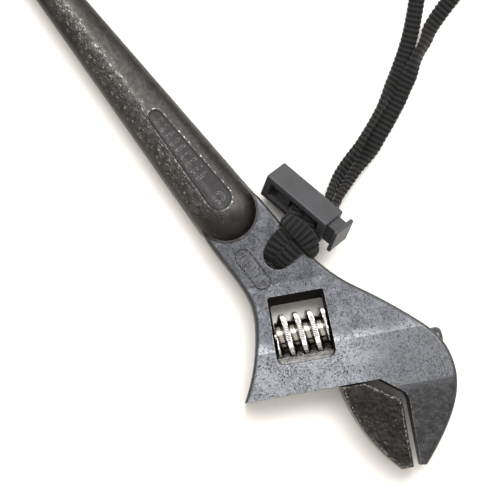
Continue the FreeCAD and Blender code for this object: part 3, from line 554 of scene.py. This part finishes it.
def lock_mm(px, py, pz=0.0):
    """A point in the cord lock's axes, in millimetres, as a place in the frame."""
    return LOCK + lock_turn.to_3x3() @ (Vector((px, py, pz)) / 1000)


def from_hole(px, py, pz):
    """A point in millimetres from the tether hole's centre, above the floor."""
    return Vector((HOLE.x + px / 1000, HOLE.y + py / 1000, pz / 1000))


def cord_line(name, points):
    """Even points on the smooth line that a cord takes, and how many of the given points each has passed."""
    data = bpy.data.curves.new(name, "CURVE")
    data.dimensions = "3D"
    data.resolution_u = 32
    spline = data.splines.new("NURBS")
    spline.points.add(len(points) - 1)
    for point, place in zip(spline.points, points):
        point.co = (*place, 1)
    spline.order_u = 3
    spline.use_endpoint_u = True
    holder = bpy.data.objects.new(name, data)
    mesh = bpy.data.meshes.new_from_object(holder)
    raw = [vertex.co.copy() for vertex in mesh.vertices]
    bpy.data.objects.remove(holder)
    bpy.data.meshes.remove(mesh)
    lengths = [0.0]
    for a, b in zip(raw, raw[1:]):
        lengths.append(lengths[-1] + (b - a).length)
    count = max(2, round(lengths[-1] / STEP))
    line, shares, j = [], [], 0
    for i in range(count + 1):
        want = lengths[-1] * i / count
        while j < len(raw) - 2 and lengths[j + 1] < want:
            j += 1
        part = (want - lengths[j]) / max(lengths[j + 1] - lengths[j], 1e-9)
        line.append(raw[j].lerp(raw[j + 1], part))
        shares.append((j + part) / (len(raw) - 1) * (len(points) - 1))
    return line, shares


def ribbon(name, points, faces, widths):
    """A ribbed flat cord. Each point has a way that the broad side looks, and a width in mm."""
    line, shares = cord_line(name, points)
    vertices, quads, uvs = [], [], []
    for i, (place, share) in enumerate(zip(line, shares)):
        ahead = (line[min(i + 1, len(line) - 1)] - line[max(i - 1, 0)]).normalized()
        k = min(int(share), len(faces) - 2)
        look = faces[k].lerp(faces[k + 1], share - k)
        look = (look - ahead * look.dot(ahead)).normalized()
        side = ahead.cross(look)
        half_width = (widths[k] + (widths[k + 1] - widths[k]) * (share - k)) / 2000
        valley = 0.5 - 0.5 * math.cos(2 * math.pi * i / RINGS_PER_RIB)
        for n in range(AROUND):
            angle = 2 * math.pi * n / AROUND
            c, s = math.cos(angle), math.sin(angle)
            a = math.copysign(abs(c) ** 0.55, c) * (half_width - VALLEY_IN * valley)
            b = math.copysign(abs(s) ** 0.7, s) * (CORD_THICK / 2 - VALLEY_DOWN * valley)
            vertices.append(place + side * a + look * b)
    rings = len(line)
    for i in range(rings - 1):
        first, second = i * AROUND, (i + 1) * AROUND
        along, next_along = i * STEP * 1000, (i + 1) * STEP * 1000
        for n in range(AROUND):
            m = (n + 1) % AROUND
            quads.append((first + n, first + m, second + m, second + n))
            low, high = n / AROUND, (n + 1) / AROUND
            uvs += [(along, low), (along, high), (next_along, high), (next_along, low)]
    quads.append(tuple(reversed(range(AROUND))))
    quads.append(tuple((rings - 1) * AROUND + n for n in range(AROUND)))
    uvs += [(0.0, 0.0)] * (2 * AROUND)
    mesh = bpy.data.meshes.new(name)
    mesh.from_pydata(vertices, [], quads)
    layer = mesh.uv_layers.new(name="UVMap")
    for loop, uv in zip(layer.data, uvs):
        loop.uv = uv
    mesh.update()
    obj = bpy.data.objects.new(name, mesh)
    bpy.context.scene.collection.objects.link(obj)
    bpy.ops.object.select_all(action="DESELECT")
    obj.select_set(True)
    bpy.context.view_layer.objects.active = obj
    bpy.ops.object.mode_set(mode="EDIT")
    bpy.ops.mesh.select_all(action="SELECT")
    bpy.ops.mesh.normals_make_consistent(inside=False)
    bpy.ops.object.mode_set(mode="OBJECT")
    bpy.ops.object.shade_smooth()
    return obj, line


RIB_SHADE_AND_SHEEN = rgb(0.0012, 0.0012, 0.0012), rgb(0.021, 0.0205, 0.0205)
BRAID = rgb(0.030, 0.029, 0.027)
YARNS = 30
webbing, tree, shader = material("woven_nylon")
weave = split(tree, add(tree, "UVMap", uv_map="UVMap").outputs[0])
along = times(tree, weave[0], 2 * math.pi / (RIB_PITCH * 1000))
wave = calc(tree, "COSINE", along)
crease = calc(tree, "POWER", distance(tree, wave), 8.0)
rib = calc(tree, "POWER", calc(tree, "MULTIPLY_ADD", wave, 0.5, 0.5), 1.8)
rib = times(tree, rib, calc(tree, "MULTIPLY_ADD", crease, -0.35, 1.0))
# Yarns run across each rib on the broad sides and cross in chevrons on the edges
turn = times(tree, weave[1], 2 * math.pi)
edge = fade(tree, distance(tree, calc(tree, "COSINE", turn)), 0.62, 0.9)
yarn = calc(tree, "SINE", calc(tree, "MULTIPLY_ADD", turn, YARNS, times(tree, along, 0.5)))
chevron = distance(tree, calc(tree, "SINE", turn))
chevron = calc(tree, "SINE", calc(tree, "MULTIPLY_ADD", chevron, 9.0, along))
yarn, chevron = (calc(tree, "MULTIPLY_ADD", a, share, 0.5) for a, share in ((yarn, 0.18), (chevron, 0.45)))
strand = add(tree, "Mix", {0: edge, 2: yarn, 3: chevron}).outputs[0]
fuzz = noise(tree, local_mm(tree, Vector((0, 0, 0))), 2.2, 4.0, 0.65)
relief = plus(tree, times(tree, rib, 1.2), times(tree, strand, 0.6))
relief = plus(tree, relief, times(tree, fuzz, 0.4))
# Painted shade and highlight: the valleys between ribs are painted almost black and the rib tops lighter,
# with a darker line along each top
base = mix(tree, times(tree, rib, fade(tree, fuzz, 0.2, 0.8, 0.7, 1.0)), *RIB_SHADE_AND_SHEEN)
base = mix(tree, times(tree, edge, strand, 0.5), base, BRAID)
set_sockets(
    tree, shader, Base_Color=base, Roughness=fade(tree, fuzz, 0.3, 0.7, 0.55, 0.75), Sheen_Weight=0.08,
    Sheen_Roughness=0.5, Specular_IOR_Level=0.15, Normal=bump(tree, relief, 0.7, 0.00035),
)

UP = Vector((0, 0, 1))
lock_x = lock_turn.to_3x3() @ Vector((1, 0, 0))
lock_z = lock_turn.to_3x3() @ Vector((0, 0, 1))

TO_RIGHT = Vector((0.93, 0.37, 0))
loop_route = [
    # place, and the way the cord's broad side looks
    (lock_mm(6.6, 4.9), lock_x),
    (lock_mm(6.6, 8.5), lock_x),
    (from_hole(-6.9, 31.4, 7.2), TO_RIGHT + UP * 0.3),
    (from_hole(-9.3, 36.0, 4.9), TO_RIGHT + UP * 0.5),
    (from_hole(-11.5, 40.9, 3.9), TO_RIGHT + UP * 0.5),
    (from_hole(-13.2, 46.2, 3.7), TO_RIGHT + UP * 0.4),
    (from_hole(-14.9, 52.0, 3.6), TO_RIGHT + UP * 0.15),
    (from_hole(-17.0, 57.0, 3.5), TO_RIGHT),
    (from_hole(-19.0, 62.1, 3.5), TO_RIGHT),
    (from_hole(-21.1, 67.2, 3.5), TO_RIGHT + UP * 0.1),
    (from_hole(-23.3, 72.2, 3.5), TO_RIGHT + UP * 0.5),
    (from_hole(-25.6, 77.1, 3.2), TO_RIGHT * 0.6 + UP),
    (from_hole(-28.0, 81.8, 2.6), TO_RIGHT * 0.3 + UP),
    (from_hole(-30.7, 86.2, 2.2), UP),
    (from_hole(-33.4, 90.6, 2.0), UP - TO_RIGHT * 0.1),
    (from_hole(-39.3, 98.7, 2.0), UP),
    (from_hole(-53.0, 113.5, 1.9), UP),
    (from_hole(-69.5, 124.5, 1.9), UP),
    (from_hole(-86.5, 137.0, 1.9), UP),
    (from_hole(-97.5, 154.0, 1.9), UP),
    (from_hole(-94.0, 172.5, 1.9), UP),
    (from_hole(-77.0, 182.0, 1.9), UP),
    (from_hole(-57.0, 177.0, 1.9), UP),
    (from_hole(-45.5, 160.5, 1.9), UP),
    (from_hole(-43.0, 141.0, 1.9), UP),
    (from_hole(-40.5, 122.5, 2.2), UP),
    (from_hole(-35.4, 104.5, 2.6), UP + TO_RIGHT * 0.6),
    (from_hole(-32.1, 100.1, 2.9), UP * 0.8 + TO_RIGHT),
    (from_hole(-30.0, 94.9, 3.3), UP * 0.4 + TO_RIGHT),
    (from_hole(-27.6, 90.2, 3.2), UP * 0.6 + TO_RIGHT),
    (from_hole(-24.9, 85.8, 2.7), UP + TO_RIGHT * 0.5),
    (from_hole(-22.6, 81.0, 2.3), UP),
    (from_hole(-20.0, 76.5, 2.1), UP),
    (from_hole(-17.8, 71.5, 2.0), UP),
    (from_hole(-15.6, 66.5, 2.0), UP),
    (from_hole(-13.6, 61.3, 2.1), UP),
    (from_hole(-11.4, 56.3, 2.3), UP - TO_RIGHT * 0.2),
    (from_hole(-9.6, 50.9, 2.8), UP * 0.8 - TO_RIGHT * 0.7),
    (from_hole(-8.1, 45.3, 3.5), UP * 0.5 - TO_RIGHT),
    (from_hole(-6.3, 39.9, 4.6), UP * 0.45 - TO_RIGHT),
    (from_hole(-4.4, 34.9, 6.6), UP * 0.35 - TO_RIGHT),
    (lock_mm(10.1, 8.5), -lock_x),
    (lock_mm(10.1, 4.9), -lock_x),
]
places, looks = zip(*loop_route)
wrist_loop, path = ribbon("lanyard_cord_loop", places, looks, [CORD_WIDTH * 1000] * len(places))
dress(wrist_loop, webbing)
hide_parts("lanyard_loop")
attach(wrist_loop, "wrench")

# The held end: down from the lock, under its own bight, into the hole, back under the neck and up round it
NECK_HALF = 5.0
UNDER = HOLE.z * 1000 - NECK_HALF - 1.85                # the cord's height as it passes under the neck, mm
SOUTH = Vector((0.3, -0.95, 0)).normalized()
ALONG_NECK = Vector((1.0, 0.17, 0)).normalized()
hitch_route = [
    # place, the way the broad side looks, and the width that the cord is squeezed to
    (lock_mm(1.1, 4.0), lock_z, 5.6),
    (lock_mm(1.0, -5.4), lock_z, 5.8),
    (from_hole(-6.6, 13.2, 15.8), UP, 6.6),
    (from_hole(-4.6, 9.2, 16.9), UP, 7.0),
    (from_hole(-4.6, 4.6, 17.6), UP - ALONG_NECK * 0.15, 6.8),
    (from_hole(-3.4, 0.8, 16.9), UP + SOUTH * 0.7, 6.6),
    (from_hole(-2.0, -1.9, 14.6), SOUTH + UP * 0.5, 5.8),
    (from_hole(-1.9, -2.7, 11.0), SOUTH + UP * 0.1, 5.4),
    (from_hole(-2.1, -2.2, 7.5), SOUTH, 5.0),
    (from_hole(-2.6, 0.6, UNDER + 1.2), SOUTH - UP * 0.7, 4.8),
    (from_hole(-4.0, 4.6, UNDER - 0.2), -UP, 5.6),
    (from_hole(-6.4, 9.4, UNDER), -UP - ALONG_NECK * 0.2, 5.2),
    (from_hole(-8.6, 11.0, UNDER + 3.4), -UP * 0.3 - ALONG_NECK, 4.4),
    (from_hole(-9.2, 11.4, 12.6), -ALONG_NECK, 4.6),
    (from_hole(-8.6, 11.0, 17.2), UP * 0.7 - ALONG_NECK, 5.8),
    (from_hole(-6.0, 11.6, 19.5), UP - SOUTH * 0.1, 6.8),
    (from_hole(-2.6, 12.3, 20.2), UP, 7.6),
    (from_hole(1.4, 12.9, 20.0), UP, 7.6),
    (from_hole(4.4, 12.5, 19.2), UP, 7.2),
    (from_hole(6.8, 12.0, 16.8), UP * 0.7 + ALONG_NECK, 5.6),
    (from_hole(7.4, 12.0, 12.4), ALONG_NECK, 4.2),
    (from_hole(7.2, 11.8, UNDER + 3.4), -UP * 0.3 + ALONG_NECK, 4.4),
    (from_hole(6.0, 9.8, UNDER), -UP + ALONG_NECK * 0.2, 5.2),
    (from_hole(4.2, 4.8, UNDER - 0.2), -UP, 5.6),
    (from_hole(2.8, 1.0, UNDER + 1.2), SOUTH - UP * 0.7, 4.8),
    (from_hole(2.5, -1.4, 7.5), SOUTH, 4.8),
    (from_hole(2.7, -1.7, 11.0), SOUTH + UP * 0.1, 5.0),
    (from_hole(2.8, 0.2, 14.6), SOUTH + UP * 0.5, 5.4),
    (from_hole(2.4, 3.2, 16.9), UP + SOUTH * 0.6, 6.2),
    (from_hole(1.9, 6.4, 17.3), UP + ALONG_NECK * 0.1, 7.0),
    (from_hole(1.7, 9.9, 16.8), UP, 7.0),
    (from_hole(1.2, 13.6, 16.0), UP, 6.6),
    (lock_mm(7.1, -5.4), lock_z, 5.8),
    (lock_mm(7.1, 4.0), lock_z, 5.6),
]
places, looks, widths = zip(*hitch_route)
hitch = ribbon("lanyard_cord_hitch", places, looks, widths)[0]
dress(hitch, webbing)
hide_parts("lanyard_hitch")
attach(hitch, "wrench")


# ------------------------------------------------------------------ table top, light and camera
# A plain white sheet under the wrench, a large soft window light from the far right, a softbox overhead and a
# long lens looking almost straight down.
bpy.ops.object.select_all(action="DESELECT")
bpy.ops.mesh.primitive_plane_add(size=6.0, location=(0.05, 0, -0.00002))
table = bpy.context.object
table.name = "table_top"
paper, tree, shader = material("white_paper")
set_sockets(tree, shader, Base_Color=rgb(0.95, 0.915, 0.87), Roughness=0.9, Specular_IOR_Level=0.1)
dress(table, paper)

RIGHT = Vector((0.614, 0.789, 0)).normalized()
AWAY = Vector((-0.789, 0.614, 0)).normalized()
AIM = Vector((0.0453, -0.0006, 0.010))


def lamp(name, place, width, depth, power, colour):
    data = bpy.data.lights.new(name, "AREA")
    data.shape = "RECTANGLE"
    data.size, data.size_y = width, depth
    data.energy = power
    data.color = colour
    made = bpy.data.objects.new(name, data)
    bpy.context.scene.collection.objects.link(made)
    made.location = AIM + place
    made.rotation_mode = "QUATERNION"
    made.rotation_quaternion = (-place).to_track_quat("-Z", "Y")
    return made


from_window = RIGHT * 0.45 + AWAY * 0.75 + UP
overhead = RIGHT * 0.05 + AWAY * 0.42 + UP * 1.15
lamp("window", from_window, width=1.0, depth=1.0, power=15.0, colour=(1.0, 0.985, 0.96))
lamp("softbox", overhead, width=0.8, depth=0.5, power=8.5, colour=(0.96, 0.98, 1.0))

world = bpy.data.worlds.new("studio")
bpy.context.scene.world = world
world.use_nodes = True
# The room is bright overhead and dim towards the horizon
sky = world.node_tree
height = split(sky, add(sky, "TexCoord").outputs["Generated"])[2]
sky.links.new(fade(sky, height, 0.0, 0.85, 0.22, 1.1), sky.nodes["Background"].inputs["Strength"])
sky.nodes["Background"].inputs["Color"].default_value = rgb(1.0, 0.975, 0.945)
bpy.context.scene.view_settings.view_transform = "Standard"

TILT = math.radians(5.0)
DISTANCE = 0.75
FIELD = 0.1946                                         # width of the view at the wrench
lens = bpy.data.cameras.new("camera")
lens.sensor_width = 36.0
lens.lens = lens.sensor_width * DISTANCE / FIELD
camera = bpy.data.objects.new("camera", lens)
bpy.context.scene.collection.objects.link(camera)
back = UP * math.cos(TILT) - AWAY * math.sin(TILT)
high = back.cross(RIGHT)
camera.rotation_mode = "QUATERNION"
camera.rotation_quaternion = Matrix((RIGHT, high, back)).transposed().to_quaternion()
camera.location = AIM + back * DISTANCE
bpy.context.scene.camera = camera
